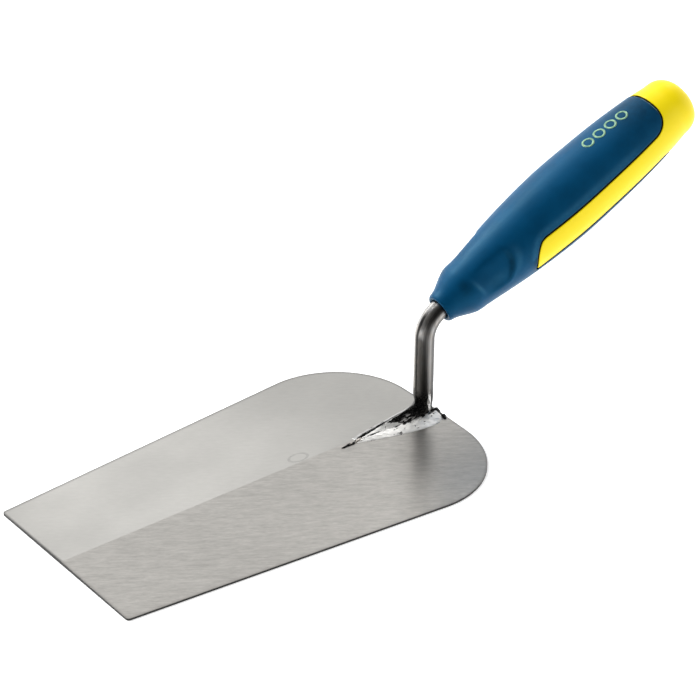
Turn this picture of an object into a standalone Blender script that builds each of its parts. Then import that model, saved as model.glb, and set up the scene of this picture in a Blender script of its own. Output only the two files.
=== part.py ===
"""Brick trowel: a taper-ground steel blade, a cranked round shank welded to its heel,
and a two-component handle moulded on the shank's tang.

Frame: metres, +Z up. The origin is on the blade's flat underside, straight below the
upright part of the shank. The toe of the blade points along -X, the handle rises
towards +X. The plane y = 0 divides the trowel into equal halves, but for the ridge of the
blade and the welds, which are finished by hand.
"""
import math

import bmesh
import bpy
from mathutils import Euler, Vector

GAP = 0.0003                      # clearance left between pieces that touch
SHARP_ANGLE = math.radians(32)    # corners sharper than this are shaded as edges

# Blade
BLADE_LENGTH = 0.1795             # toe edge to heel edge
HEEL_X = 0.0064                   # heel edge, behind the shank's axis
TOE_X = HEEL_X - BLADE_LENGTH
TOE_HALF_WIDTH = 0.0433
SIDE_FLARE = math.radians(5.2)    # each side opens by this from toe to shoulder
SHOULDER_RADIUS = 0.0360
TOE_CORNER_RADIUS = 0.0015
SHOULDER_STEPS = 18
STRAIGHT_STEPS = 8
TOE_CORNER_STEPS = 3
EDGE_THICKNESS = 0.0009           # ground edge, along both long sides
RIDGE_AT_TOE = 0.0014             # plate thickness on the ridge
RIDGE_AT_HEEL = 0.0024
RIDGE_Y = 0.0012                  # the hand-ground facets meet a little off centre

# Shank: one cranked round bar with a forged foot and a swaged tang
ROD_RADIUS = 0.0041
ROD_SEGMENTS = 24
CRANK = Vector((0.0, 0.0, 0.0454))  # where the upright's axis meets the handle's axis
HANDLE_RISE = math.radians(24.4)  # handle axis above the blade's plane
CRANK_RADIUS = 0.012              # bend radius of the rod's centre line
CRANK_STEPS = 10
TANG_LENGTH = 0.086               # from the crank point to the end of the tang
SWAGE_START = 0.042               # flattened stretch that stops the handle turning
SWAGE_LENGTH = 0.022
SWAGE_RAMP = 0.004
SWAGE_WIDEN = 1.22
SWAGE_FLATTEN = 0.78
TANG_CHAMFER = 0.0018
BORE_START = 0.0020               # the core's bore is cut from here, past the collar's face

FOOT_LENGTH = 0.031               # forged wedge in front of the shank's axis
FOOT_HEIGHT = 0.0062              # crest above the blade, at the shank's axis
FOOT_FALL = 1.15                  # power of the crest's slightly concave slope
FOOT_HALF_WIDTH = 0.0040
FOOT_TIP_HALF_WIDTH = 0.0012
FOOT_TIP_HEIGHT = 0.0004
FOOT_EDGE = 0.0001                # upright edge along the bottom of its flanks
FOOT_FLANK = 0.8                  # 1 would make its section a plain triangle
FOOT_STATIONS = 12
FOOT_ARC_STEPS = 10

# Welds
WELD_REAR_X = 0.0052              # the side fillets stop just short of the heel edge
WELD_FRONT_X = -0.0335
# Outer edges of the fillets: half width beside the shank and at the front, and the power
# of the curve between. The right one is left wider by hand grinding.
WELD_LEFT_EDGE = (0.0076, 0.0028, 1.0)
WELD_RIGHT_EDGE = (0.0098, 0.0020, 1.7)
WELD_HEIGHT = 0.0014
WELD_FALL = 0.5                   # power of the fall of that height towards the front
WELD_EDGE = 0.0003                # thickness of the feathered outer edge
WELD_STATIONS = 14
# Hollow section of the fillets: shares of the width, and of the height above the edge
WELD_SECTION = ((0.0, 1.0), (0.35, 0.62), (0.7, 0.25), (1.0, 0.0))
HEEL_BEAD_RADIUS = 0.00095
HEEL_BEAD_SWEEP = math.radians(30)
HEEL_BEAD_STEPS = 8
HEEL_BEAD_SIDES = 10
HEEL_BEAD_TAPER = 0.6             # radius of its ends, as a share
TIP_BEAD_LENGTH = 0.0085
TIP_BEAD_HALF_WIDTH = 0.0014
TIP_BEAD_HEIGHT = 0.0007
TIP_BEAD_Y = -0.0006
TIP_BEAD_SWELL = (0.15, 0.90)     # stretch of a sine arch that its length follows
TIP_BEAD_STEPS = 6
TIP_BEAD_ARC_STEPS = 8

# Handle, measured along its own axis from the front face of the collar
COLLAR_FROM_CRANK = 0.0079
HANDLE_LENGTH = 0.1402
GRIP_LENGTH = 0.1218
HANDLE_SEGMENTS = 48
HANDLE_STATION = 0.0041           # spacing of the turned rings
# Radii of the handle at the places where its curve changes: collar lip, neck, shoulder,
# belly, and the taper to the butt
HANDLE_PROFILE = (
    (0.0000, 0.0063), (0.0034, 0.0071), (0.0067, 0.0086), (0.0101, 0.0102),
    (0.0125, 0.0110), (0.0172, 0.0115), (0.0274, 0.0129), (0.0374, 0.0142),
    (0.0510, 0.0155), (0.0680, 0.0164), (0.0860, 0.0162), (0.1040, 0.0155),
    (0.1218, 0.0140), (0.1300, 0.0129),
)
DOME_START = 0.1300               # the butt closes in a rounded end behind this
DOME_SQUARENESS = 2.6             # 2 would make it half an ellipse
DOME_RINGS = (0.3, 0.55, 0.75, 0.90, 0.96, 0.99)  # shares of the dome's depth
GRIP_THICKNESS = 0.0024           # soft overmould on the hard core
CORE_START = 0.0060
CORE_NECK_END = 0.0135
CORE_NECK_RADIUS = 0.0061
CORE_SHOULDER = 0.0002            # length of the step from the neck to the full core
CORE_SLEEVE_END = 0.1280          # the covered core runs on this far, inside the bare butt
GRIP_MOUTH_CLEARANCE = 0.0005     # round the shank, in the collar's hole

STRIP_TOP = 0.0056                # borders of the side strips of bare core, seen from the side
STRIP_BOTTOM = -0.0076
STRIP_START = 0.0435              # middle of the strip's slanted front edge
STRIP_SLANT = 0.0032              # how far the edge leans, at the strip's borders
STRIP_CORNER = 0.0018
TONGUE_CORNER_LENGTH = 0.0083     # rounded corners of the two rubber tongues
TONGUE_CORNER_WIDTH = 0.0068
CORNER_STEPS = 6
WINDOW_HALF_HEIGHT = 0.0200       # the cutters that part grip and core clear the handle
WINDOW_HALF_DEPTH = 0.0300
OVERRUN = 0.0040                  # how far cutters pass the surface that they cut through

# Thumb and finger rests: a scoop in each side of the grip, from a straight front edge to a
# curved wall. Angles are measured round the grip, upwards from the side.
REST_DEPTH = 0.0016
REST_START = 0.0152               # front edge, across the middle
REST_LEAN = 0.0025                # shift of that edge for each radian downwards
REST_RUN_IN = 0.0080              # length of the slope behind it
REST_END = 0.0343                 # the wall's furthest point
REST_WALL_TOP = math.radians(37)  # angle of that point
REST_WALL_BEND = 0.0106           # how far the wall curves forward, for each radian squared
REST_WALL = 0.0020                # length of the wall
REST_ANGLE = math.radians(24)     # the scoop's deepest line
REST_BELOW = math.radians(30)     # its reach below and above that line
REST_ABOVE = math.radians(33)
REST_LOW_POWER = 0.75             # a firm lower edge and a soft upper one
REST_HIGH_POWER = 1.5
REST_STATION = 0.0015             # spacing of the grip's rings here


def clear_scene():
    for item in list(bpy.data.objects):
        bpy.data.objects.remove(item, do_unlink=True)


def make_material(name, colour, roughness, metallic):
    material = bpy.data.materials.new(name)
    material.use_nodes = True
    shader = material.node_tree.nodes["Principled BSDF"]
    shader.inputs["Base Color"].default_value = (*colour, 1.0)
    shader.inputs["Roughness"].default_value = roughness
    shader.inputs["Metallic"].default_value = metallic
    material.diffuse_color = (*colour, 1.0)
    return material


def make_object(name, bm, material, parent=None):
    bmesh.ops.recalc_face_normals(bm, faces=bm.faces)
    mesh = bpy.data.meshes.new(name)
    bm.to_mesh(mesh)
    bm.free()
    mesh.shade_smooth()
    mesh.set_sharp_from_angle(angle=SHARP_ANGLE)
    mesh.materials.append(material)
    item = bpy.data.objects.new(name, mesh)
    bpy.context.scene.collection.objects.link(item)
    item.parent = parent
    return item


def make_cutter(name, bm, material, parent=None):
    cutter = make_object(name, bm, material, parent)
    cutter.hide_render = True
    cutter.display_type = "WIRE"
    return cutter


def add_boolean(item, cutter, operation):
    modifier = item.modifiers.new(f"{operation.lower()}_{cutter.name}", "BOOLEAN")
    modifier.operation = operation
    modifier.solver = "EXACT"
    modifier.object = cutter


def loft(rings, close_start=True, close_end=True):
    """Skin equal-length rings of points, in order, and cap the two ends."""
    bm = bmesh.new()
    rows = [[bm.verts.new(point) for point in ring] for ring in rings]
    count = len(rows[0])
    for row, following in zip(rows, rows[1:]):
        for i in range(count):
            j = (i + 1) % count
            bm.faces.new((row[i], row[j], following[j], following[i]))
    if close_start:
        bm.faces.new(rows[0])
    if close_end:
        bm.faces.new(rows[-1])
    return bm


# ---------------------------------------------------------------- blade

def side_half_width(x):
    """Half width of the blade's straight, flaring sides."""
    return TOE_HALF_WIDTH + math.tan(SIDE_FLARE) * (x - TOE_X)


def ridge_height(x):
    along = (x - TOE_X) / BLADE_LENGTH
    return RIDGE_AT_TOE + (RIDGE_AT_HEEL - RIDGE_AT_TOE) * along


def blade_top(x, y):
    """Height of the two ground facets that fall from the ridge to the sides."""
    if y > RIDGE_Y:
        across = (y - RIDGE_Y) / (side_half_width(x) - RIDGE_Y)
    else:
        across = (RIDGE_Y - y) / (side_half_width(x) + RIDGE_Y)
    return ridge_height(x) + (EDGE_THICKNESS - ridge_height(x)) * min(across, 1.0)


def half_outline():
    """The blade's edge on the +Y side, from the toe to the heel."""
    corner_x = TOE_X + TOE_CORNER_RADIUS
    corner_y = side_half_width(corner_x) - TOE_CORNER_RADIUS / math.cos(SIDE_FLARE)
    points = []
    for step in range(TOE_CORNER_STEPS + 1):
        angle = math.pi - (math.pi / 2 - SIDE_FLARE) * step / TOE_CORNER_STEPS
        points.append((corner_x + TOE_CORNER_RADIUS * math.cos(angle),
                       corner_y + TOE_CORNER_RADIUS * math.sin(angle)))
    centre_x = HEEL_X - SHOULDER_RADIUS
    centre_y = side_half_width(centre_x) - SHOULDER_RADIUS / math.cos(SIDE_FLARE)
    straight_start = Vector(points[-1])
    first_angle = math.pi / 2 + SIDE_FLARE
    arc = []
    for step in range(SHOULDER_STEPS + 1):
        angle = first_angle * (1 - step / SHOULDER_STEPS)
        arc.append((centre_x + SHOULDER_RADIUS * math.cos(angle),
                    centre_y + SHOULDER_RADIUS * math.sin(angle)))
    for step in range(1, STRAIGHT_STEPS):
        points.append(straight_start.lerp(Vector(arc[0]), step / STRAIGHT_STEPS))
    return points + arc


def outline_row(bm, outline, side, is_top):
    """One row of vertices along the blade's edge, on one side, at its top or its bottom."""
    points = [(x, side * y) for x, y in outline]
    return [bm.verts.new((x, y, blade_top(x, y) if is_top else 0.0)) for x, y in points]


def build_blade(material):
    """Flat underside, two facets on top, and a thin square edge all round."""
    outline = half_outline()
    bm = bmesh.new()
    left_top, right_top = [outline_row(bm, outline, side, True) for side in (1, -1)]
    left_low, right_low = [outline_row(bm, outline, side, False) for side in (1, -1)]
    ridge = [bm.verts.new((x, RIDGE_Y, ridge_height(x))) for x, _ in outline]
    toe_low = bm.verts.new((TOE_X, RIDGE_Y, 0.0))
    heel_low = bm.verts.new((HEEL_X, RIDGE_Y, 0.0))
    for i in range(len(outline) - 1):
        bm.faces.new((ridge[i], ridge[i + 1], left_top[i + 1], left_top[i]))
        bm.faces.new((ridge[i + 1], ridge[i], right_top[i], right_top[i + 1]))
        bm.faces.new((left_top[i], left_top[i + 1], left_low[i + 1], left_low[i]))
        bm.faces.new((right_top[i + 1], right_top[i], right_low[i], right_low[i + 1]))
    for end, centre in ((0, toe_low), (-1, heel_low)):
        bm.faces.new((centre, left_low[end], left_top[end], ridge[end]))
        bm.faces.new((right_low[end], centre, ridge[end], right_top[end]))
    bm.faces.new([toe_low, *left_low, heel_low, *reversed(right_low)])
    return make_object("blade", bm, material)


# ---------------------------------------------------------------- shank

def handle_direction():
    return Vector((math.cos(HANDLE_RISE), 0.0, math.sin(HANDLE_RISE)))


def rod_path():
    """Centres, directions and half sizes (wide, thick) of the rod, from foot to tang end."""
    turn = math.pi / 2 - HANDLE_RISE
    tangent = CRANK_RADIUS * math.tan(turn / 2)
    up = Vector((0.0, 0.0, 1.0))
    plain = (ROD_RADIUS, ROD_RADIUS)
    path = [(Vector((0.0, 0.0, ridge_height(0.0) + GAP)), up, plain)]
    for step in range(CRANK_STEPS + 1):
        angle = turn * step / CRANK_STEPS
        offset = Vector((CRANK_RADIUS * (1 - math.cos(angle)), 0.0, CRANK_RADIUS * math.sin(angle)))
        direction = Vector((math.sin(angle), 0.0, math.cos(angle)))
        path.append((CRANK - up * tangent + offset, direction, plain))
    return path + tang_path(TANG_LENGTH)


def tang_path(length):
    """The tang: round, swaged flat for part of its length, and chamfered at its end."""
    along = handle_direction()
    plain = (ROD_RADIUS, ROD_RADIUS)
    flat = (ROD_RADIUS * SWAGE_WIDEN, ROD_RADIUS * SWAGE_FLATTEN)
    tip = (ROD_RADIUS - TANG_CHAMFER, ROD_RADIUS - TANG_CHAMFER)
    swage_end = SWAGE_START + SWAGE_LENGTH
    sizes = ((SWAGE_START, plain), (SWAGE_START + SWAGE_RAMP, flat), (swage_end - SWAGE_RAMP, flat),
             (swage_end, plain), (length - TANG_CHAMFER, plain), (length, tip))
    return [(CRANK + along * distance, along, size) for distance, size in sizes]


def rod_rings(path, clearance=0.0):
    rings = []
    side = Vector((0.0, 1.0, 0.0))
    for centre, direction, (wide, thick) in path:
        across = direction.cross(side)
        ring = []
        for i in range(ROD_SEGMENTS):
            angle = 2 * math.pi * i / ROD_SEGMENTS
            ring.append(centre + side * (wide + clearance) * math.cos(angle)
                        + across * (thick + clearance) * math.sin(angle))
        rings.append(ring)
    return rings


def foot_crest(distance):
    """Crest of the forged foot above the blade, at a distance in front of the shank's axis."""
    along = max(distance, 0.0) / FOOT_LENGTH
    return max(FOOT_HEIGHT * (1 - along) ** FOOT_FALL, FOOT_TIP_HEIGHT)


def foot_half_width(distance):
    along = min(max(distance, 0.0) / FOOT_LENGTH, 1.0)
    return FOOT_HALF_WIDTH + (FOOT_TIP_HALF_WIDTH - FOOT_HALF_WIDTH) * along


def build_foot(material):
    """The wedge forged out of the rod's lower end, lying forward along the ridge."""
    rings = []
    for station in range(FOOT_STATIONS + 1):
        distance = FOOT_LENGTH * station / FOOT_STATIONS
        low = ridge_height(-distance) + GAP
        half = foot_half_width(distance)
        crest = foot_crest(distance)
        ring = []
        for step in range(FOOT_ARC_STEPS + 1):
            angle = math.pi * step / FOOT_ARC_STEPS
            rise = math.sin(angle)
            across = math.copysign((1 - rise) ** FOOT_FLANK, math.cos(angle))
            ring.append((-distance, half * across, low + FOOT_EDGE + crest * rise))
        ring.append((-distance, -half, low))
        ring.append((-distance, half, low))
        rings.append(ring)
    return make_cutter("foot_wedge", loft(rings), material)


def build_shank(material):
    shank = make_object("shank", loft(rod_rings(rod_path())), material)
    add_boolean(shank, build_foot(material), "UNION")
    return shank


# ---------------------------------------------------------------- welds

def weld_outer(x, edge):
    """Outer edge of a side fillet: widest beside the shank, closing towards the tip."""
    widest, narrowest, power = edge
    return widest + (narrowest - widest) * max(x / WELD_FRONT_X, 0.0) ** power


def build_side_weld(name, sign, edge, material):
    """A ground fillet along one flank of the shank and its foot."""
    rings = []
    for station in range(WELD_STATIONS + 1):
        along = station / WELD_STATIONS
        x = WELD_REAR_X + (WELD_FRONT_X - WELD_REAR_X) * along
        inner = foot_half_width(-x) + GAP
        outer = weld_outer(x, edge)
        height = (WELD_HEIGHT - WELD_EDGE) * (1 - along) ** WELD_FALL
        low_inner = blade_top(x, sign * inner) + GAP
        low_outer = blade_top(x, sign * outer) + GAP
        ring = [(x, sign * inner, low_inner)]
        for across, rise in WELD_SECTION:
            low = low_inner + (low_outer - low_inner) * across
            ring.append((x, sign * (inner + (outer - inner) * across), low + WELD_EDGE + height * rise))
        ring.append((x, sign * outer, low_outer))
        rings.append(ring)
    return make_object(name, loft(rings), material)


def build_heel_weld(material):
    """A round bead behind the shank, on the strip of blade left at the heel."""
    reach = ROD_RADIUS + GAP + HEEL_BEAD_RADIUS
    height = ridge_height(HEEL_X) + GAP + HEEL_BEAD_RADIUS
    rings = []
    for step in range(HEEL_BEAD_STEPS + 1):
        sweep = HEEL_BEAD_SWEEP * (2 * step / HEEL_BEAD_STEPS - 1)
        radius = HEEL_BEAD_RADIUS * (1.0 if 0 < step < HEEL_BEAD_STEPS else HEEL_BEAD_TAPER)
        outward = Vector((math.cos(sweep), math.sin(sweep), 0.0))
        ring = []
        for i in range(HEEL_BEAD_SIDES):
            angle = 2 * math.pi * i / HEEL_BEAD_SIDES
            ring.append(outward * (reach + radius * math.cos(angle))
                        + Vector((0.0, 0.0, height + radius * math.sin(angle))))
        rings.append(ring)
    return make_object("weld_heel", loft(rings), material)


def build_tip_weld(material):
    """The low run-out bead on the ridge, in front of the foot."""
    start = WELD_FRONT_X - GAP
    swell_start, swell_end = TIP_BEAD_SWELL
    rings = []
    for step in range(TIP_BEAD_STEPS + 1):
        along = step / TIP_BEAD_STEPS
        x = start - TIP_BEAD_LENGTH * along
        swell = math.sin(math.pi * (swell_start + (swell_end - swell_start) * along))
        low = ridge_height(x) + GAP
        ring = []
        for i in range(TIP_BEAD_ARC_STEPS + 1):
            angle = math.pi * i / TIP_BEAD_ARC_STEPS
            ring.append((x, TIP_BEAD_Y + TIP_BEAD_HALF_WIDTH * swell * math.cos(angle),
                         low + TIP_BEAD_HEIGHT * swell * math.sin(angle)))
        rings.append(ring)
    return make_object("weld_tip", loft(rings), material)


# ---------------------------------------------------------------- handle

def profile_radius(t):
    """Outer radius of the handle at a distance t from the collar's face."""
    if t >= DOME_START:
        depth = min((t - DOME_START) / (HANDLE_LENGTH - DOME_START), 1.0)
        return HANDLE_PROFILE[-1][1] * max(1.0 - depth ** DOME_SQUARENESS, 0.0) ** (1 / DOME_SQUARENESS)
    for i in range(len(HANDLE_PROFILE) - 1):
        (start, low), (end, high) = HANDLE_PROFILE[i], HANDLE_PROFILE[i + 1]
        if t <= end:
            before = HANDLE_PROFILE[max(i - 1, 0)]
            after = HANDLE_PROFILE[min(i + 2, len(HANDLE_PROFILE) - 1)]
            span = end - start
            slope_low = (high - before[1]) / (end - before[0])
            slope_high = (after[1] - low) / (after[0] - start)
            u = (t - start) / span
            return ((2 * u ** 3 - 3 * u ** 2 + 1) * low + (u ** 3 - 2 * u ** 2 + u) * span * slope_low
                    + (3 * u ** 2 - 2 * u ** 3) * high + (u ** 3 - u ** 2) * span * slope_high)
    return HANDLE_PROFILE[-1][1]


def ease(value):
    """A smooth step from 0 to 1."""
    value = min(max(value, 0.0), 1.0)
    return value * value * (3 - 2 * value)


def rest_depth(t, angle):
    """Depth of the thumb rests below the grip's turned surface."""
    side_angle = math.atan2(math.sin(angle), abs(math.cos(angle)))
    turn = side_angle - REST_ANGLE
    if not -REST_BELOW < turn < REST_ABOVE:
        return 0.0
    if turn > 0:
        across = (1 - (turn / REST_ABOVE) ** 2) ** REST_HIGH_POWER
    else:
        across = (1 - (turn / REST_BELOW) ** 2) ** REST_LOW_POWER
    start = REST_START - REST_LEAN * turn
    run_in = min(max((t - start) / REST_RUN_IN, 0.0), 1.0)
    wall = REST_END - REST_WALL_BEND * (side_angle - REST_WALL_TOP) ** 2
    return REST_DEPTH * across * math.sin(math.pi / 2 * run_in) * ease((wall - t) / REST_WALL)


def core_radius(t):
    """Radius of the core where the grip covers it."""
    return max(profile_radius(t) - GRIP_THICKNESS, CORE_NECK_RADIUS)


def turned_ring(t, radius_at, segments=HANDLE_SEGMENTS):
    ring = []
    for i in range(segments):
        angle = 2 * math.pi * i / segments
        radius = radius_at(t, angle)
        ring.append((t, radius * math.cos(angle), radius * math.sin(angle)))
    return ring


def stations(start, end, spacing=HANDLE_STATION):
    count = max(int(round((end - start) / spacing)), 1)
    return [start + (end - start) * i / count for i in range(count + 1)]


def grip_stations():
    """Places of the grip's rings, closer together over the thumb rests."""
    rests_start = REST_START - OVERRUN
    rests = stations(rests_start, REST_END + REST_WALL, REST_STATION)
    return stations(0.0, rests_start)[:-1] + rests[:-1] + stations(rests[-1], GRIP_LENGTH + OVERRUN)


def tongue_corner(border, sign, inset):
    """The rounded corner of a rubber tongue, from the strip's border to the tongue's end."""
    points = []
    for step in range(CORNER_STEPS + 1):
        angle = math.pi / 2 * step / CORNER_STEPS
        points.append((GRIP_LENGTH + inset - TONGUE_CORNER_LENGTH * (1 - math.sin(angle)),
                       border + sign * TONGUE_CORNER_WIDTH * (1 - math.cos(angle))))
    return points


def window_outline(inset):
    """The strip of bare core, seen from the side, as a loop that runs off the butt's end."""
    top = STRIP_TOP - inset
    bottom = STRIP_BOTTOM + inset
    front = STRIP_START + inset
    tongue_end = GRIP_LENGTH + inset
    far = HANDLE_LENGTH + OVERRUN
    outline = [(front - STRIP_SLANT, bottom),
               (front + STRIP_SLANT - STRIP_CORNER / 2, top - STRIP_CORNER),
               (front + STRIP_SLANT + STRIP_CORNER / 2, top)]
    outline += tongue_corner(top, 1, inset)
    outline += [(tongue_end, WINDOW_HALF_HEIGHT), (far, WINDOW_HALF_HEIGHT),
                (far, -WINDOW_HALF_HEIGHT), (tongue_end, -WINDOW_HALF_HEIGHT)]
    outline += reversed(tongue_corner(bottom, -1, inset))
    return outline


def build_window(name, inset, material, frame):
    """A prism through the handle, side to side, with the window's outline."""
    rings = [[(t, side * WINDOW_HALF_DEPTH, z) for t, z in window_outline(inset)] for side in (-1, 1)]
    return make_cutter(name, loft(rings), material, frame)


def core_rings(clearance, start, end):
    """The covered core: a neck under the collar, a short step, and the full sleeve."""
    neck = [turned_ring(t, lambda *_: CORE_NECK_RADIUS + clearance)
            for t in (start, CORE_NECK_END - CORE_SHOULDER)]
    return neck + [turned_ring(t, lambda s, _: core_radius(s) + clearance)
                   for t in stations(CORE_NECK_END, end)]


def build_grip(material, frame, window):
    """Soft overmould: a collar and a full sleeve in front, two tongues behind."""
    rings = [turned_ring(t, lambda s, angle: profile_radius(s) - rest_depth(s, angle))
             for t in grip_stations()]
    grip = make_object("grip", loft(rings), material, frame)
    inner = core_rings(GAP, CORE_START - GAP, GRIP_LENGTH + 2 * OVERRUN)
    add_boolean(grip, make_cutter("grip_cavity", loft(inner), material, frame), "DIFFERENCE")
    mouth = [turned_ring(t, lambda *_: ROD_RADIUS + GRIP_MOUTH_CLEARANCE, ROD_SEGMENTS)
             for t in (-OVERRUN, CORE_START + GRIP_MOUTH_CLEARANCE)]
    add_boolean(grip, make_cutter("grip_mouth", loft(mouth), material, frame), "DIFFERENCE")
    add_boolean(grip, window, "DIFFERENCE")
    return grip


def build_core(material, frame, window):
    """Hard core: under the grip, bare along both sides and at the butt."""
    core = make_object("handle_core", loft(core_rings(0.0, CORE_START, CORE_SLEEVE_END)), material, frame)
    dome = HANDLE_LENGTH - DOME_START
    places = stations(STRIP_START - 2 * OVERRUN, DOME_START)
    places += [DOME_START + dome * share for share in DOME_RINGS]
    bare = make_cutter("bare_core", loft([turned_ring(t, lambda s, _: profile_radius(s)) for t in places]),
                       material, frame)
    add_boolean(bare, window, "INTERSECT")
    add_boolean(core, bare, "UNION")
    add_boolean(core, build_tang_bore(material), "DIFFERENCE")
    return core


def build_tang_bore(material):
    """The room that the tang takes up inside the core."""
    along = handle_direction()
    mouth = (CRANK + along * (COLLAR_FROM_CRANK + BORE_START), along, (ROD_RADIUS, ROD_RADIUS))
    return make_cutter("tang_bore", loft(rod_rings([mouth, *tang_path(TANG_LENGTH + GAP)], GAP)), material)


def build_handle(core_material, grip_material):
    frame = bpy.data.objects.new("handle_frame", None)
    bpy.context.scene.collection.objects.link(frame)
    frame.location = CRANK + handle_direction() * COLLAR_FROM_CRANK
    frame.rotation_euler = Euler((0.0, -HANDLE_RISE, 0.0))
    grip_window = build_window("grip_window", 0.0, grip_material, frame)
    core_window = build_window("core_window", GAP, core_material, frame)
    build_grip(grip_material, frame, grip_window)
    build_core(core_material, frame, core_window)


def build_trowel():
    clear_scene()
    ground_steel = make_material("ground_steel", (0.56, 0.56, 0.54), 0.38, 1.0)
    dark_steel = make_material("dark_steel", (0.30, 0.29, 0.28), 0.32, 1.0)
    weld_metal = make_material("weld_metal", (0.42, 0.41, 0.40), 0.35, 1.0)
    hard_yellow = make_material("hard_yellow", (0.92, 0.78, 0.02), 0.35, 0.0)
    soft_blue = make_material("soft_blue", (0.012, 0.075, 0.16), 0.45, 0.0)
    build_blade(ground_steel)
    build_shank(dark_steel)
    build_side_weld("weld_left", 1, WELD_LEFT_EDGE, weld_metal)
    build_side_weld("weld_right", -1, WELD_RIGHT_EDGE, weld_metal)
    build_heel_weld(weld_metal)
    build_tip_weld(weld_metal)
    build_handle(hard_yellow, soft_blue)


build_trowel()
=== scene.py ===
import math

import bmesh
import bpy
import numpy as np
from mathutils import Matrix, Vector, noise
from mathutils.geometry import delaunay_2d_cdt


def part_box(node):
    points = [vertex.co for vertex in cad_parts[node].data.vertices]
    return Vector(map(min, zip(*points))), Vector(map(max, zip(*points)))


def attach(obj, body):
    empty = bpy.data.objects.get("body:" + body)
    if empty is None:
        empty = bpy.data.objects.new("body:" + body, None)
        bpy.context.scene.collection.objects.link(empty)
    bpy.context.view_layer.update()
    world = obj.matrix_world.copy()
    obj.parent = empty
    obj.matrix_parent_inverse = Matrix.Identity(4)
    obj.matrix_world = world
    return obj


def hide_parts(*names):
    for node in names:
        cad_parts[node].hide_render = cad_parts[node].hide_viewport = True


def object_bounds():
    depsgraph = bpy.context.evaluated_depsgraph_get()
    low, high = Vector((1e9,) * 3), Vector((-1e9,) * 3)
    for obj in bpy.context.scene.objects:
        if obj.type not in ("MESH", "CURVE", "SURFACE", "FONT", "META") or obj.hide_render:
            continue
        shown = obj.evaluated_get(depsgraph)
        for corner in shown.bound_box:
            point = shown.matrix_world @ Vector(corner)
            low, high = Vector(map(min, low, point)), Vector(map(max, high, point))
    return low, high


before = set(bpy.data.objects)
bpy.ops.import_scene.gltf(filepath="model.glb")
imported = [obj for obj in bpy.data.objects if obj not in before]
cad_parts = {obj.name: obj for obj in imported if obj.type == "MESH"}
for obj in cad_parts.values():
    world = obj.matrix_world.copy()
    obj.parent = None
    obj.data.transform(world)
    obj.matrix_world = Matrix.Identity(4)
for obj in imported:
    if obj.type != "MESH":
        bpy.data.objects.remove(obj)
cad_low, cad_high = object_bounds()
MM = 0.001
DEG = math.pi / 180

# ------------------------ sizes
# The blade's ends and height are read from its CAD box. The others are the part's own dimensions.
blade_low, blade_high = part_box("blade")
TOE_X = blade_low.x
HEEL_X = blade_high.x
BLADE_LENGTH = HEEL_X - TOE_X
EDGE_THICKNESS = 0.9 * MM
RIDGE_AT_TOE = 1.4 * MM
RIDGE_AT_HEEL = blade_high.z
RIDGE_Y = 1.2 * MM
TOE_HALF_WIDTH = 43.3 * MM
SIDE_FLARE = 5.2 * DEG
SHOULDER_RADIUS = 36 * MM
TOE_CORNER = 1.5 * MM

ROD = 4.1 * MM                    # radius of the shank's bar
CRANK = Vector((0, 0, 45.4 * MM))
RISE = 24.4 * DEG
CRANK_RADIUS = 12 * MM
HANDLE_AXIS = Vector((math.cos(RISE), 0, math.sin(RISE)))
COLLAR_FROM_CRANK = 7.9 * MM
FOOT_LENGTH = 31 * MM
FOOT_HEIGHT = 6.2 * MM
FOOT_FALL = 1.15

GRIP_LENGTH = 121.8 * MM
HANDLE_LENGTH = 140.2 * MM
PROFILE = [(t * MM, r * MM) for t, r in (
    (0.0, 6.3), (3.4, 7.1), (6.7, 8.6), (10.1, 10.2), (12.5, 11.0), (17.2, 11.5),
    (27.4, 12.9), (37.4, 14.2), (51.0, 15.5), (68.0, 16.4), (86.0, 16.2), (104.0, 15.5),
    (121.8, 14.0), (130.0, 12.9))]
DOME_START = PROFILE[-1][0]
DOME_SQUARENESS = 2.6
STRIP_TOP = 5.6 * MM
STRIP_BOTTOM = -7.6 * MM
STRIP_FRONT = 41.4 * MM           # its front end, at the bottom
TONGUE_CORNER_LENGTH = 8.3 * MM
TONGUE_CORNER_HEIGHT = 6.8 * MM
REST_DEPTH = 1.6 * MM             # the thumb rest, a scoop in each side of the grip
REST_START = 15.2 * MM            # its front edge, across the middle
REST_LEAN = 2.5 * MM              # shift of that edge for each radian downwards
REST_RUN_IN = 8 * MM
REST_END = 34.3 * MM              # the wall behind it
REST_WALL_TOP = 37 * DEG
REST_WALL_BEND = 10.6 * MM        # how far the wall curves forward, for each radian squared
REST_WALL = 2.0 * MM
REST_ANGLE = 24 * DEG             # its middle, above the side
REST_BELOW = 30 * DEG
REST_ABOVE = 33 * DEG


# ------------------------ small helpers
def clamp(value, low=0.0, high=1.0):
    return max(low, min(high, value))


def smooth(value):
    value = clamp(value)
    return value * value * (3 - 2 * value)


def mix(a, b, share):
    return a + (b - a) * share


def hump(value, centre, reach):
    """A smooth hump: 1 at its centre, 0 at its reach."""
    return smooth(1 - abs(value - centre) / reach)


def bumpy(point, scale, seed):
    """Smooth noise from about -1 to 1 at a place, scale in bumps per metre."""
    return noise.fractal(Vector(point) * scale + Vector((seed, seed * 0.7, -seed)), 0.6, 2.0, 3)


def make_piece(name, bm, materials):
    bmesh.ops.recalc_face_normals(bm, faces=bm.faces)
    mesh = bpy.data.meshes.new(name)
    bm.to_mesh(mesh)
    bm.free()
    mesh.shade_smooth()
    for material in materials:
        mesh.materials.append(material)
    piece = bpy.data.objects.new(name, mesh)
    bpy.context.scene.collection.objects.link(piece)
    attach(piece, "root")
    return piece


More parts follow.
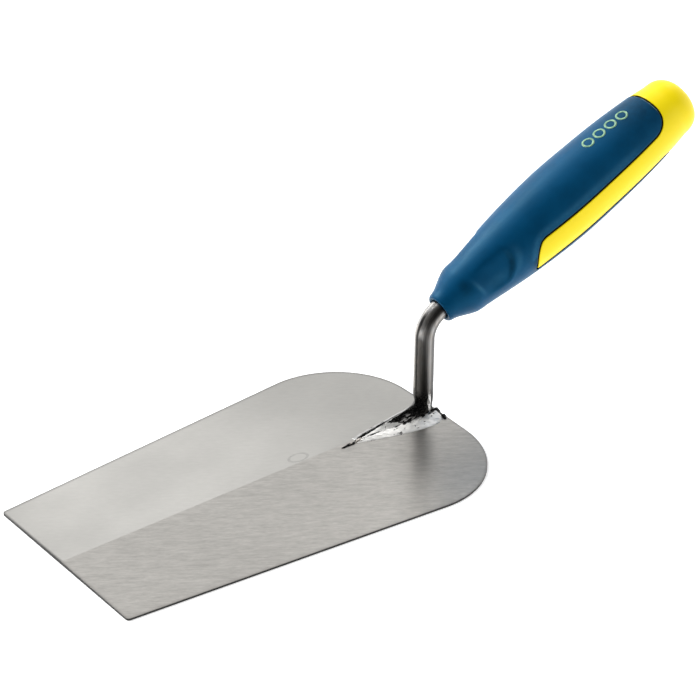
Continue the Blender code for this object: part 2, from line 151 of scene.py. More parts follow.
def skin(bm, rings, cap_start=True, cap_end=True):
    """Quads between equal rings of points, with the ends capped."""
    rows = [[bm.verts.new(point) for point in ring] for ring in rings]
    for row, after in zip(rows, rows[1:]):
        for i, vert in enumerate(row):
            j = (i + 1) % len(row)
            bm.faces.new((vert, row[j], after[j], after[i]))
    if cap_start:
        bm.faces.new(rows[0])
    if cap_end:
        bm.faces.new(rows[-1])
    return rows


def slab(bm, tops, lows):
    """Faces over an upper and a lower grid of vertices and round their sides, which it returns."""
    rows, columns = len(tops) - 1, len(tops[0]) - 1
    sides = []
    for i in range(rows):
        for j in range(columns):
            bm.faces.new((tops[i][j], tops[i + 1][j], tops[i + 1][j + 1], tops[i][j + 1]))
            bm.faces.new((lows[i][j], lows[i][j + 1], lows[i + 1][j + 1], lows[i + 1][j]))
        for j in (0, columns):
            sides.append(bm.faces.new((tops[i][j], tops[i + 1][j], lows[i + 1][j], lows[i][j])))
    for i in (0, rows):
        for j in range(columns):
            sides.append(bm.faces.new((tops[i][j], tops[i][j + 1], lows[i][j + 1], lows[i][j])))
    return sides


# ------------------------ material helpers
def new_material(name):
    material = bpy.data.materials.new(name)
    material.use_nodes = True
    return material, material.node_tree, material.node_tree.nodes["Principled BSDF"]


def node(tree, kind, inputs=None, output=0, **settings):
    """Adds one node, sets or links its inputs, and returns one of its outputs."""
    made = tree.nodes.new(kind)
    for key, value in settings.items():
        setattr(made, key, value)
    feed(tree, made, inputs or {})
    return made.outputs[output]


def feed(tree, made, inputs):
    for key, value in inputs.items():
        socket = made.inputs[key]
        if isinstance(value, bpy.types.NodeSocket):
            tree.links.new(value, socket)
        else:
            socket.default_value = value


def object_coords(tree):
    return node(tree, "ShaderNodeTexCoord", output="Object")


def place(tree, scale, turn=0.0, shift=(0, 0, 0), pitch=0.0):
    """Object coordinates, turned about Y and Z and then stretched."""
    turned = node(tree, "ShaderNodeMapping", {"Vector": object_coords(tree), "Rotation": (0, pitch, turn),
                                              "Location": shift})
    return node(tree, "ShaderNodeMapping", {"Vector": turned, "Scale": scale})


def speckle(tree, vector, scale, detail=3, rough=0.6):
    return node(tree, "ShaderNodeTexNoise", {"Vector": vector, "Scale": scale, "Detail": detail,
                                             "Roughness": rough})


def streaks(tree, stretch, detail=3, rough=0.6, **where):
    """Noise stretched in the object's own space, to run along a grain."""
    return speckle(tree, place(tree, stretch, **where), 1, detail, rough)


def calc(tree, operation, a, b=0.0, c=0.0, clip=False):
    return node(tree, "ShaderNodeMath", {0: a, 1: b, 2: c}, operation=operation, use_clamp=clip)


def times(tree, a, b):
    return calc(tree, "MULTIPLY", a, b)


def less(tree, a, b):
    return calc(tree, "SUBTRACT", a, b)


def scaled(tree, value, factor, added):
    """A number times a factor, plus another number."""
    return calc(tree, "MULTIPLY_ADD", value, factor, added)


def span(tree, value, low, high, to_low=0.0, to_high=1.0, kind="SMOOTHSTEP"):
    return node(tree, "ShaderNodeMapRange", {"Value": value, "From Min": low, "From Max": high,
                                             "To Min": to_low, "To Max": to_high},
                interpolation_type=kind)


def blend_colour(tree, share, a, b):
    a, b = [value if isinstance(value, bpy.types.NodeSocket) else (*value, 1) for value in (a, b)]
    return node(tree, "ShaderNodeMix", {0: share, 6: a, 7: b}, output=2, data_type="RGBA")


def split(tree, vector):
    made = tree.nodes.new("ShaderNodeSeparateXYZ")
    tree.links.new(vector, made.inputs[0])
    return made.outputs


def stored(tree, name):
    """A number kept on the mesh's points."""
    return node(tree, "ShaderNodeAttribute", output="Fac", attribute_name=name)


def spread(tree, value):
    """One number as a vector."""
    return node(tree, "ShaderNodeCombineXYZ", {0: value, 1: value, 2: value})


def tint(tree, colour, value):
    """A colour made lighter or darker by a number."""
    return node(tree, "ShaderNodeVectorMath", {0: colour, 1: spread(tree, value)}, operation="MULTIPLY")


def ramp(tree, value, stops):
    """Grey tones at places from 0 to 1, joined smoothly."""
    made = tree.nodes.new("ShaderNodeValToRGB")
    made.color_ramp.interpolation = "EASE"
    made.color_ramp.elements.remove(made.color_ramp.elements[1])
    for k, (position, grey) in enumerate(stops):
        stop = made.color_ramp.elements[0] if k == 0 else made.color_ramp.elements.new(position)
        stop.position = position
        stop.color = (grey, grey, grey, 1)
    feed(tree, made, {0: value})
    return made.outputs[0]


def bump(tree, height, strength, distance):
    return node(tree, "ShaderNodeBump", {"Height": height, "Strength": strength, "Distance": distance})


# ------------------------ colours
NEAR_STEEL = (0.444, 0.429, 0.404)
FAR_STEEL = (0.446, 0.437, 0.415)
SHEARED_EDGE = ((0.022, 0.022, 0.022), (0.075, 0.074, 0.072))
FORGE_SCALE = ((0.008, 0.008, 0.008), (0.10, 0.097, 0.092))
HEAT_WARMTH = (1.0, 0.88, 0.76)
BARE_ISLAND = (0.62, 0.61, 0.59)
GROUND_FLANK = (0.93, 0.92, 0.89)
HIGHLIGHT_STEEL = (0.95, 0.94, 0.92)
BRIGHT_WELD = ((0.88, 0.87, 0.84), (1.0, 0.985, 0.95))
DULL_WELD = ((0.26, 0.26, 0.25), (0.58, 0.58, 0.57))
WELD_PIT = (0.018, 0.018, 0.018)
BEAD_SCALE = (0.015, 0.015, 0.016)
HEEL_BEAD_SHINE = (0.22, 0.215, 0.21)
TIP_BEAD_SHINE = (0.52, 0.48, 0.44)
RUBBER = ((0.0002, 0.064, 0.165), (0.0005, 0.078, 0.198))
# Paler blue for the grip's painted highlights
HIGHLIGHT_RUBBER = (0.030, 0.150, 0.285)
RUBBER_GLOSS = (0.2, 0.75, 1.0, 1)
RUBBER_SHEEN = (0.4, 0.78, 1.0, 1)
PLASTIC = ((0.84, 0.675, 0.003), (0.87, 0.70, 0.005))
PLASTIC_GLOW = (1.0, 0.76, 0.0, 1)
# Near-black for the groove round the rubber: painted shade
GROOVE_SHADE = ((0.006, 0.012, 0.006), (0.010, 0.018, 0.009))
INK = ((0.16, 0.36, 0.22), (0.38, 0.66, 0.40))

# Greys round the shank's bar, from its front (0) to its back (1): painted reflections, as light and dark
# lengthwise bands
BAR_REFLECTION_BANDS = (
    (0.0, 0.04), (0.035, 0.05), (0.085, 0.42), (0.13, 0.42), (0.19, 0.30), (0.25, 0.10), (0.30, 0.055),
    (0.38, 0.08), (0.44, 0.22), (0.495, 0.36), (0.55, 0.20), (0.61, 0.07), (0.70, 0.07), (0.82, 0.2),
    (1.0, 0.25))


# ------------------------ materials
BLADE_ROUGHNESS = 0.33
STAMP_X, STAMP_Y = -60 * MM, 4.4 * MM
STAMP_HALF_LENGTH, STAMP_HALF_WIDTH = 4.2 * MM, 2.6 * MM
GRIP_LIGHT_LAYERS = ("painted_highlight", "painted_shade")        # the grip's point attributes of painted highlight and painted shade, set when the grip is built


def stamp_mark(tree, height, grain):
    """A faint plain oval pressed into the blade's top, 1 on its line."""
    from_centre = place(tree, (1 / STAMP_HALF_LENGTH, 1 / STAMP_HALF_WIDTH, 0), shift=(-STAMP_X, -STAMP_Y, 0))
    radius = node(tree, "ShaderNodeVectorMath", {0: from_centre}, operation="LENGTH", output="Value")
    line = span(tree, calc(tree, "ABSOLUTE", less(tree, radius, 1.0)), 0.20, 0.10)
    line = times(tree, line, span(tree, height, 0.2 * MM, 0.6 * MM))
    return times(tree, line, span(tree, grain, 0.35, 0.55, 0.3, 1.0))


def blade_steel():
    """Belt-ground plate steel: each facet has its own grain direction and its own tone, with painted shade
    near the heel, the toe and the edge.
    """
    material, tree, shader = new_material("blade_steel")
    x, y, z = split(tree, object_coords(tree))
    far = span(tree, y, RIDGE_Y - 0.2 * MM, RIDGE_Y + 0.2 * MM)
    cloud = streaks(tree, (22, 30, 1), 2, 0.5)
    soft = span(tree, cloud, 0.3, 0.7, 0.97, 1.03)

    # The near facet: coarse belt marks, and painted shade making it a little darker towards the heel
    near_fine = streaks(tree, (330, 1500, 60), 4, 0.65, turn=34 * DEG)
    near_broad = streaks(tree, (110, 540, 30), turn=32 * DEG, shift=(0.3, 0, 0))
    near_tone = calc(tree, "ADD", times(tree, near_fine, 0.5), times(tree, near_broad, 0.5))
    near_tone = span(tree, near_tone, 0.36, 0.64, 0.84, 1.14, "LINEAR")
    near_shade = span(tree, x, -60 * MM, HEEL_X, 1.0, 0.92)
    near_colour = tint(tree, tint(tree, NEAR_STEEL, near_tone), near_shade)

    # The far facet: a finer finish, and painted shade making it darker at the heel and at the toe
    far_fine = streaks(tree, (260, 900, 60), 4, turn=35 * DEG, shift=(0.1, 0.2, 0))
    far_tone = span(tree, far_fine, 0.3, 0.7, 0.965, 1.035, "LINEAR")
    far_shade = times(tree, span(tree, x, -75 * MM, -25 * MM, 1.0, 0.83),
                     span(tree, x, -180 * MM, -135 * MM, 0.84, 1.0))
    far_colour = tint(tree, tint(tree, FAR_STEEL, far_tone), far_shade)

    # Painted shade: a dark line along the plate's edge, darkest on the far side
    edge_shade = span(tree, far, 0.0, 1.0, 0.65, 0.28, "LINEAR")
    rim = span(tree, stored(tree, "rim"), 0.0, 1.0, 1.0, edge_shade, "LINEAR")
    colour = blend_colour(tree, far, near_colour, far_colour)
    colour = tint(tree, tint(tree, colour, soft), rim)
    colour = tint(tree, colour, scaled(tree, stamp_mark(tree, z, near_fine), -0.22, 1.0))
    grain = calc(tree, "ADD", times(tree, near_fine, less(tree, 1.0, far)),
                 times(tree, far_fine, times(tree, far, 0.5)))
    feed(tree, shader, {
        "Base Color": colour, "Metallic": 0.86, "Anisotropic": 0.4,
        "Roughness": span(tree, cloud, 0.3, 0.7, BLADE_ROUGHNESS - 0.015, BLADE_ROUGHNESS + 0.015),
        "Tangent": blend_colour(tree, far, (0.55, 0.83, 0.0), (0.62, -0.78, 0.0)),
        "Normal": bump(tree, grain, 0.25, 0.02 * MM)})
    return material


def edge_steel():
    """The sheared and filed edge of the plate, darker than its faces."""
    material, tree, shader = new_material("edge_steel")
    grain = streaks(tree, (90, 90, 1600))
    feed(tree, shader, {"Base Color": blend_colour(tree, grain, *SHEARED_EDGE), "Metallic": 1.0,
                        "Roughness": span(tree, grain, 0.3, 0.7, 0.38, 0.52),
                        "Normal": bump(tree, grain, 0.3, 0.05 * MM)})
    return material


def drawn_bar(tree, z, blotch, drawn, height):
    """The bare bar's colour: painted reflections in lengthwise bands round it, varied by drawing streaks,
    darker and warmer where the weld's heat reached.
    """
    # Painted reflections: light and dark bands round the bar, set by its around attribute
    round_bar = scaled(tree, blotch, 0.03, less(tree, stored(tree, "around"), 0.015))
    bare = tint(tree, ramp(tree, round_bar, BAR_REFLECTION_BANDS), span(tree, drawn, 0.3, 0.7, 0.85, 1.18))
    bare = tint(tree, bare, span(tree, z, 14 * MM, 40 * MM, 0.82, 1.1))
    heat = times(tree, span(tree, height, 30 * MM, 14 * MM), 0.4)
    tinted = blend_colour(tree, heat, bare, tint(tree, bare, 0.62))
    warm = blend_colour(tree, span(tree, blotch, 0.35, 0.6, 0.1, 0.45), (1, 1, 1), HEAT_WARMTH)
    return node(tree, "ShaderNodeVectorMath", {0: tinted, 1: warm}, operation="MULTIPLY")


def highlight_strip(tree, x, y, z, blotch, fine):
    """A painted highlight in an upright strip on the bar's near side, above the weld."""
    middle = span(tree, z, 9 * MM, 3 * MM, 0.0, 1.6 * MM)
    off = calc(tree, "ABSOLUTE", less(tree, x, middle))
    strip = span(tree, scaled(tree, blotch, 0.6 * MM, off), 1.15 * MM, 0.75 * MM)
    strip = times(tree, strip, span(tree, y, -1.2 * MM, -2.2 * MM))
    return times(tree, strip, span(tree, scaled(tree, fine, 5 * MM, z), 17 * MM, 14 * MM))


def ground_front(tree, x, y, z, blotch):
    """Where the foot's near flank was ground bright with the weld, up to a ragged line."""
    ragged = streaks(tree, (190, 560, 460), 3, 0.65, turn=-8 * DEG)
    slope = scaled(tree, x, 0.18, scaled(tree, ragged, 1.8 * MM, z))
    ground = times(tree, span(tree, slope, 2.6 * MM, 2.3 * MM),
                   span(tree, scaled(tree, ragged, 2 * MM, y), 1.2 * MM, 0.9 * MM))
    return times(tree, ground, span(tree, blotch, 0.72, 0.67))


def shank_steel():
    """Drawn bar with painted reflections in light and dark lengthwise bands, a painted highlight above the
    weld, and forge scale and heat colour at its lower end.
    """
    material, tree, shader = new_material("shank_steel")
    coords = object_coords(tree)
    x, y, z = split(tree, coords)
    blotch = speckle(tree, coords, 260, 4, 0.65)
    fine = speckle(tree, coords, 1500, 3, 0.6)
    drawn = streaks(tree, (700, 700, 60), 4)
    height = scaled(tree, blotch, 9 * MM, less(tree, z, 4.5 * MM))
    bare = drawn_bar(tree, z, blotch, drawn, height)

    # Forge scale at the foot, but not low on its far side
    far_side = times(tree, span(tree, y, 0.3 * MM, 1.4 * MM), span(tree, z, 9.5 * MM, 7.5 * MM))
    scale = times(tree, span(tree, height, 17 * MM, 12 * MM), less(tree, 1.0, far_side))
    black = blend_colour(tree, span(tree, fine, 0.50, 0.72), *FORGE_SCALE)
    islands = streaks(tree, (170, 800, 600), 3, 0.65, turn=-6 * DEG)
    islands = times(tree, span(tree, islands, 0.585, 0.64), span(tree, z, 6.4 * MM, 5.2 * MM))
    ground = ground_front(tree, x, y, z, blotch)
    foot = blend_colour(tree, islands, black, BARE_ISLAND)
    foot = blend_colour(tree, ground, foot, GROUND_FLANK)

    colour = blend_colour(tree, scale, bare, foot)
    # Painted highlight: a near-white strip on the bar's near side, above the weld
    colour = blend_colour(tree, highlight_strip(tree, x, y, z, blotch, fine), colour, HIGHLIGHT_STEEL)
    relief = scaled(tree, scale, fine, times(tree, drawn, 0.3))
    feed(tree, shader, {
        "Base Color": colour, "Metallic": scaled(tree, ground, -0.65, 1.0),
        "Roughness": scaled(tree, scale, 0.14, span(tree, blotch, 0.3, 0.7, 0.28, 0.34)),
        "Normal": bump(tree, relief, 0.35, 0.08 * MM)})
    return material


def ground_weld(name, tones):
    """Weld metal ground bright, with black scale left where the disc did not reach."""
    material, tree, shader = new_material(name)
    scratch = streaks(tree, (120, 1500, 300), 4, turn=20 * DEG)
    pits = streaks(tree, (300, 620, 500), 3, 0.7, turn=10 * DEG)
    ragged = streaks(tree, (170, 420, 300), 3, 0.65, turn=-12 * DEG)
    across = stored(tree, "across")
    unground = span(tree, less(tree, ragged, across), 0.36, 0.44)
    pit = calc(tree, "MAXIMUM", span(tree, pits, 0.60, 0.65), unground)
    bright = blend_colour(tree, span(tree, scratch, 0.3, 0.7), *tones)
    bright = tint(tree, bright, span(tree, scaled(tree, pits, 0.3, across), 0.9, 1.25, 1.0, 0.6))
    feed(tree, shader, {
        "Base Color": blend_colour(tree, pit, bright, WELD_PIT), "Metallic": 0.4,
        "Roughness": scaled(tree, pit, 0.1, 0.42),
        "Normal": bump(tree, less(tree, scratch, pit), 0.5, 0.1 * MM)})
    return material


def raw_weld(name, shine):
    """Weld bead as it cooled: dark scale with a dull shine on its ripples."""
    material, tree, shader = new_material(name)
    coords = object_coords(tree)
    fine = speckle(tree, coords, 1300, 4, 0.65)
    blotch = speckle(tree, coords, 500, 2, 0.5)
    colour = blend_colour(tree, span(tree, blotch, 0.42, 0.66), BEAD_SCALE, shine)
    feed(tree, shader, {"Base Color": colour, "Metallic": 1.0,
                        "Roughness": span(tree, fine, 0.3, 0.7, 0.30, 0.5),
                        "Normal": bump(tree, fine, 0.6, 0.15 * MM)})
    return material


def moulded(name, tones, roughness, grain, depth, mottling):
    """Moulded plastic or rubber: fine spark-eroded texture and slight tone changes."""
    material, tree, shader = new_material(name)
    coords = object_coords(tree)
    fine = speckle(tree, coords, grain, 3, 0.6)
    broad = speckle(tree, coords, mottling, 3, 0.5)
    scuff = streaks(tree, (60, 500, 500), 4, pitch=RISE)
    rough = calc(tree, "ADD", span(tree, scuff, 0.3, 0.8, roughness - 0.04, roughness + 0.06),
                 span(tree, broad, 0.3, 0.7, -0.02, 0.02))
    feed(tree, shader, {"Base Color": blend_colour(tree, span(tree, broad, 0.3, 0.7), *tones),
                        "Roughness": rough, "Normal": bump(tree, fine, depth, 0.04 * MM)})
    return material, tree, shader


def rubber_with_painted_light():
    """The grip's soft rubber: paler where a highlight is painted, darker where shade is painted, round the
    thumb rest and along the tongues.
    """
    material, tree, shader = moulded("grip_blue", RUBBER, 0.46, 2600, 0.25, 90)
    plain_rubber = shader.inputs["Base Color"].links[0].from_socket
    patchy = span(tree, speckle(tree, object_coords(tree), 420, 4, 0.65), 0.3, 0.7, 0.75, 1.1)
    # Painted highlight turns the rubber paler and painted shade darkens it, broken up by a mottle
    painted_highlight, painted_shade = [calc(tree, "MULTIPLY", stored(tree, name), patchy, clip=True) for name in GRIP_LIGHT_LAYERS]
    colour = blend_colour(tree, painted_highlight, plain_rubber, HIGHLIGHT_RUBBER)
    colour = tint(tree, colour, span(tree, painted_shade, 0.0, 1.0, 1.0, 0.5, "LINEAR"))
    feed(tree, shader, {"Base Color": colour, "Specular IOR Level": 0.25, "Specular Tint": RUBBER_GLOSS,
                        "Sheen Weight": 0.3, "Sheen Roughness": 0.3, "Sheen Tint": RUBBER_SHEEN})
    return material


def core_plastic():
    """The core's bright yellow plastic, with a slight glow that keeps it bright in its own shade."""
    material, tree, shader = moulded("core_yellow", PLASTIC, 0.36, 1800, 0.12, 60)
    feed(tree, shader, {"Specular IOR Level": 0.3, "Emission Color": PLASTIC_GLOW,
                        "Emission Strength": 0.3})
    return material


def print_ink():
    """Pale pad-printed ink, thinner in places."""
    material, tree, shader = new_material("print_ink")
    thin = speckle(tree, object_coords(tree), 700, 3, 0.6)
    feed(tree, shader, {"Base Color": blend_colour(tree, span(tree, thin, 0.35, 0.65), *INK),
                        "Roughness": span(tree, thin, 0.3, 0.7, 0.4, 0.55),
                        "Normal": bump(tree, thin, 0.2, 0.03 * MM)})
    return material


# ------------------------ blade
CORNER_STEPS, SIDE_STEPS, SHOULDER_STEPS, ACROSS_STEPS = 6, 48, 60, 14
RIM_WIDTH = 1.0 * MM              # of the darker line of painted shade along the plate's edge
RIDGE_SHARPNESS = 1.2 * DEG       # less than the angle between the two ground facets


def side_half_width(x):
    return TOE_HALF_WIDTH + math.tan(SIDE_FLARE) * (x - TOE_X)


def ridge_height(x):
    return mix(RIDGE_AT_TOE, RIDGE_AT_HEEL, (x - TOE_X) / BLADE_LENGTH)


def blade_top(x, y):
    side = side_half_width(x)
    across = (y - RIDGE_Y) / (side - RIDGE_Y) if y > RIDGE_Y else (RIDGE_Y - y) / (side + RIDGE_Y)
    return mix(ridge_height(x), EDGE_THICKNESS, clamp(across))


def blade_outline():
    """Half the plate's edge as (x, half width), toe to heel."""
    points = []
    corner_x = TOE_X + TOE_CORNER
    corner_y = side_half_width(corner_x) - TOE_CORNER / math.cos(SIDE_FLARE)
    for step in range(CORNER_STEPS + 1):
        angle = math.pi - (math.pi / 2 - SIDE_FLARE) * step / CORNER_STEPS
        points.append((corner_x + TOE_CORNER * math.cos(angle), corner_y + TOE_CORNER * math.sin(angle)))
    centre_x = HEEL_X - SHOULDER_RADIUS
    centre_y = side_half_width(centre_x) - SHOULDER_RADIUS / math.cos(SIDE_FLARE)
    first = math.pi / 2 + SIDE_FLARE
    side_start, side_end = points[-1][0], centre_x + SHOULDER_RADIUS * math.cos(first)
    for step in range(1, SIDE_STEPS):
        x = mix(side_start, side_end, step / SIDE_STEPS)
        points.append((x, side_half_width(x)))
    for step in range(SHOULDER_STEPS + 1):
        angle = first * (1 - step / SHOULDER_STEPS)
        points.append((centre_x + SHOULDER_RADIUS * math.cos(angle),
                       centre_y + SHOULDER_RADIUS * math.sin(angle)))
    return points


def rim_distance(outline, x, y):
    """Distance from a place on the plate to its edge."""
    best = 1.0
    for (x0, y0), (x1, y1) in zip(outline, outline[1:]):
        along = Vector((x1 - x0, y1 - y0))
        share = clamp(Vector((x - x0, y - y0)).dot(along) / along.length_squared)
        best = min(best, (Vector((x0, y0)) + along * share - Vector((x, y))).length)
    return min(best, HEEL_X - x if y < outline[-1][1] else best)


def build_blade():
    outline = blade_outline()
    bm = bmesh.new()
    rim = bm.verts.layers.float.new("rim")
    steps = [i / ACROSS_STEPS for i in range(ACROSS_STEPS)] + [0.965, 0.985, 1.0]
    tops, lows = [], []
    for x, half in outline:
        ys = [mix(RIDGE_Y, -half, u) for u in reversed(steps)] + [mix(RIDGE_Y, half, u) for u in steps[1:]]
        tops.append([bm.verts.new((x, y, blade_top(x, y))) for y in ys])
        lows.append([bm.verts.new((x, y, 0.0)) for y in ys])
        for vert, y in zip(tops[-1], ys):
            inward = min(rim_distance(outline, x, abs(y)), abs(x - TOE_X))
            vert[rim] = clamp(1 - inward / RIM_WIDTH)
    for face in slab(bm, tops, lows):
        face.material_index = 1
    blade = make_piece("blade_plate", bm, [blade_steel(), edge_steel()])
    blade.data.set_sharp_from_angle(angle=RIDGE_SHARPNESS)
    bevel = blade.modifiers.new("edge_break", "BEVEL")
    bevel.width = 0.16 * MM
    bevel.segments = 2
    bevel.limit_method = "ANGLE"
    bevel.angle_limit = 50 * DEG
    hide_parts("blade")


# ------------------------ shank
BAR_SIDES = 48
FOOT_TIP = FOOT_LENGTH + 2 * MM   # the visual foot runs on a little, under the tip bead
FOOT_TIP_HALF = 1.2 * MM          # half its width there
UPRIGHT_START = 20 * MM           # above this height the bar is plain
FOOT_START = 11 * MM              # below this height it widens into the foot
CREST_START = 9.3 * MM            # height at which the bar's front bends into the crest
CREST_CORNER = 8.2 * MM
CREST_RUN = 5.0 * MM              # how far forward the bend reaches
BASE_GAP = 0.05 * MM              # between the foot's underside and the blade


def foot_half(distance):
    return mix(ROD, FOOT_TIP_HALF, clamp(distance / FOOT_LENGTH))


def crest_height(distance):
    along = clamp(distance / (FOOT_TIP + 0.2 * MM))
    return ridge_height(-distance) + 0.3 * MM + max(FOOT_HEIGHT * (1 - along) ** FOOT_FALL, 0.15 * MM)


def crest_points():
    """The front of the bar and the crest of its foot, from the bar down to the foot's tip."""
    leave, corner = Vector((-ROD, 0, CREST_START)), Vector((-ROD, 0, CREST_CORNER))
    meet = Vector((-CREST_RUN, 0, crest_height(CREST_RUN)))
    points = [Vector((-ROD, 0, z * MM)) for z in (20, 18, 16, 14, 12)]
    for step in range(9):
        u = step / 8
        points.append(leave * (1 - u) ** 2 + corner * 2 * u * (1 - u) + meet * u * u)
    steps = 30
    for step in range(1, steps + 1):
        distance = mix(CREST_RUN, FOOT_TIP, step / steps)
        points.append(Vector((-distance, 0, crest_height(distance))))
    return points


def foot_rings():
    """Rings from the bar down to the foot's tip: round at the bar, roof-shaped over the foot."""
    crest = crest_points()
    lengths = [0.0]
    for a, b in zip(crest, crest[1:]):
        lengths.append(lengths[-1] + (b - a).length)
    floor_z = ridge_height(0) + BASE_GAP
    rings = []
    for point, length in zip(crest, lengths):
        base = Vector((ROD, 0, point.z))
        if point.z < FOOT_START:
            u = (length - 9 * MM) / (lengths[-1] - 9 * MM)
            base.x = mix(ROD, -FOOT_TIP, clamp((u - 0.22) / 0.78) ** 1.15)
            base.z = mix(FOOT_START, floor_z, smooth(u / 0.30))
            if base.x < ROD:
                base.z = max(ridge_height(base.x) + BASE_GAP, base.z)
        middle, out = (point + base) / 2, (point - base) / 2
        half = foot_half(max(-point.x - ROD, 0.0))
        roof = smooth((FOOT_START - point.z) / (2.5 * MM))
        ring = []
        for i in range(BAR_SIDES):
            angle = 2 * math.pi * i / BAR_SIDES
            c, s = math.cos(angle), math.sin(angle)
            if c > 0:
                s = math.copysign(mix(abs(s), (1 - c) ** 0.8, roof), s)
            ring.append(middle + out * c + Vector((0, half * s, 0)))
        rings.append(ring)
    return rings


def bar_path():
    """Centres of the plain round bar and its lean at each, up the crank and into the collar."""
    turn = math.pi / 2 - RISE
    tangent = CRANK_RADIUS * math.tan(turn / 2)
    path = [(Vector((0, 0, mix(UPRIGHT_START, CRANK.z - tangent, i / 8))), 0.0) for i in range(1, 8)]
    steps = 24
    for step in range(steps + 1):
        angle = turn * step / steps
        offset = Vector((CRANK_RADIUS * (1 - math.cos(angle)), 0, CRANK_RADIUS * math.sin(angle)))
        path.append((CRANK - Vector((0, 0, tangent)) + offset, angle))
    path.append((CRANK + HANDLE_AXIS * (COLLAR_FROM_CRANK + 4 * MM), turn))
    return path


def build_shank():
    rings = list(reversed(foot_rings()))
    for centre, lean in bar_path():
        front = Vector((-math.cos(lean), 0, math.sin(lean)))
        turns = [2 * math.pi * i / BAR_SIDES for i in range(BAR_SIDES)]
        rings.append([centre + front * ROD * math.cos(a) + Vector((0, ROD * math.sin(a), 0))
                      for a in turns])
    bm = bmesh.new()
    around = bm.verts.layers.float.new("around")
    for row in skin(bm, rings):
        for i, vert in enumerate(row):
            vert[around] = 1 - abs(2 * i / BAR_SIDES - 1)
    for vert in bm.verts:
        forged = smooth((15 * MM - vert.co.z) / (6 * MM))
        if forged > 0:
            radial = Vector((0, vert.co.y, 0.6 * vert.co.z)).normalized()
            vert.co += radial * 0.22 * MM * bumpy(vert.co, 420, 3.1) * forged
    shank = make_piece("shank_bar", bm, [shank_steel()])
    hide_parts("shank")


# ------------------------ welds
WELD_START, WELD_END = 5.5 * MM, -34.5 * MM
WELD_ROWS, WELD_COLUMNS = 90, 22
BEAD_SIDES, BEAD_STEPS = 20, 5

# Lumps along the rough beads, in mm: x, y, height above the blade (only at the heel), radius
HEEL_LUMPS = ((4.6, -8.9, 0.0, 0.4), (5.2, -8.0, 0.3, 0.8), (5.4, -6.8, 0.5, 0.9), (5.5, -5.7, 0.1, 0.45),
              (5.6, -4.4, 0.1, 0.5), (5.5, -3.2, 0.7, 0.9), (5.3, -2.2, 1.0, 1.1), (5.0, -1.2, 0.5, 0.9))
TIP_LUMPS = ((-31.5, -0.2, 0.574), (-33.3, -0.4, 0.738), (-35.0, -0.6, 0.451), (-36.4, -0.9, 0.615),
             (-38.3, -0.6, 0.697), (-40.0, -0.9, 0.41), (-41.2, -0.9, 0.451), (-42.2, -0.8, 0.205))


def weld_outer(x, widest, narrowest, closing):
    """Half width of a side weld: widest beside the bar, closing towards the foot's tip."""
    reach = mix(widest, narrowest, clamp(-x / (34 * MM)) ** closing)
    behind = clamp((x + 1.0 * MM) / (6.5 * MM))
    return reach * math.sqrt(max(1 - 0.55 * behind ** 2, 0.0))


def build_side_weld(name, sign, outline, height, material, node_name):
    """A fillet along one flank of the foot, ground nearly flat, with a ragged outer edge."""
    bm = bmesh.new()
    across = bm.verts.layers.float.new("across")
    tops, lows = [], []
    for i in range(WELD_ROWS + 1):
        x = mix(WELD_START, WELD_END, i / WELD_ROWS)
        inner = max(foot_half(-x - ROD) - 0.9 * MM, 0.2 * MM)
        outer = weld_outer(x, *outline) + 0.22 * MM * bumpy((x, 0, 0), 330, 5 * sign)
        fade = min(smooth((WELD_START - x) / (1.6 * MM)), smooth((x - WELD_END) / (6 * MM)))
        inside = mix(0.2 * MM, height, fade) * mix(1.0, 0.55, clamp(-x / (30 * MM)))
        top, low = [], []
        for j in range(WELD_COLUMNS + 1):
            v = j / WELD_COLUMNS
            y = mix(inner, outer, v)
            base = blade_top(x, sign * y)
            rise = inside * (1 - v) ** 0.9 + 0.06 * MM * (1 - v ** 6)
            edge_free = smooth(v * 5) * smooth((1 - v) * 4) * fade
            rise += 0.16 * MM * bumpy((x, y, 0), 380, 2 * sign) * edge_free
            top.append(bm.verts.new((x, sign * y, base + rise)))
            low.append(bm.verts.new((x, sign * y, base - 0.15 * MM)))
            top[-1][across] = low[-1][across] = v
        tops.append(top)
        lows.append(low)
    slab(bm, tops, lows)
    weld = make_piece(name, bm, [material])
    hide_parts(node_name)


def build_bead(name, path, material, node_name, seed):
    """A lumpy bead through (centre, radius) points, flattened towards the blade."""
    dense = []
    for (a, radius_a), (b, radius_b) in zip(path, path[1:]):
        for step in range(BEAD_STEPS):
            u = step / BEAD_STEPS
            dense.append((a.lerp(b, u), mix(radius_a, radius_b, smooth(u))))
    dense.append(path[-1])
    rings = []
    for k, (centre, radius) in enumerate(dense):
        ahead = dense[min(k + 1, len(dense) - 1)][0] - dense[max(k - 1, 0)][0]
        side = Vector((-ahead.y, ahead.x, 0)).normalized()
        ring = []
        for i in range(BEAD_SIDES):
            angle = 2 * math.pi * i / BEAD_SIDES
            arm = side * radius * math.cos(angle) + Vector((0, 0, radius * 0.8 * math.sin(angle)))
            ring.append(centre + arm * (1 + 0.22 * bumpy(centre + arm, 500, seed)))
        rings.append(ring)
    bm = bmesh.new()
    skin(bm, rings)
    bead = make_piece(name, bm, [material])
    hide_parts(node_name)


def build_heel_bead(material):
    """Along the rear end of the near weld, then round the back of the bar."""
    path = [(Vector((x * MM, y * MM, blade_top(x * MM, y * MM) + lift * MM)), radius * MM)
            for x, y, lift, radius in HEEL_LUMPS]
    reach = ROD + 0.15 * MM
    for step in range(6):
        sweep = 15 * DEG * step
        centre = Vector((reach * math.cos(sweep), reach * math.sin(sweep), ridge_height(0) + 0.2 * MM))
        path.append((centre, 1.05 * MM))
    build_bead("weld_bead_heel", path, material, "weld_heel", 4.4)


def build_tip_bead(material):
    path = [(Vector((x * MM, y * MM, ridge_height(x * MM) + 0.1 * MM)), radius * MM)
            for x, y, radius in TIP_LUMPS]
    build_bead("weld_bead_tip", path, material, "weld_tip", 7.7)


